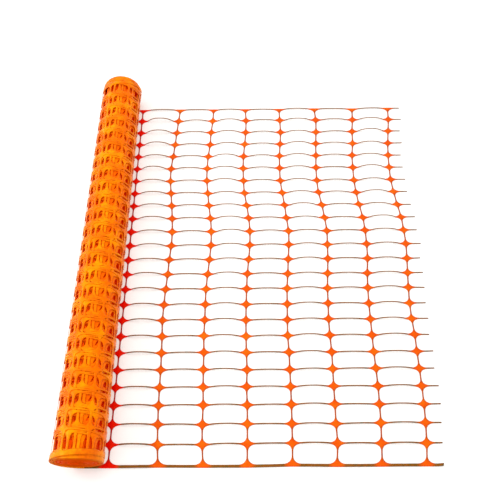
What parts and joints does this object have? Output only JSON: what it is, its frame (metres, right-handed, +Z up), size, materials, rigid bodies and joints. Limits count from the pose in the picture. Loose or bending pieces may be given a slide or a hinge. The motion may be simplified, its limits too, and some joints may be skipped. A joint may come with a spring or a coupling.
{
  "type": "plastic barrier fence",
  "caption": "Moulded orange plastic barrier net with long open cells, wound into a roll with its outer length laid out flat from under the roll.",
  "frame": {"origin": "on the floor, under the middle of the whole object's bounding box", "axes": "+X along the net, away from the roll and towards the cut end; +Y across the net, along the roll's axis; +Z up"},
  "size_m": [0.8544, 1.048, 0.1124],
  "materials": {
    "net_plastic": "semi-gloss moulded orange polyethylene, slightly translucent"
  },
  "bodies": {
    "root": {"fence_net": "net_plastic"}
  },
  "joints": []
}
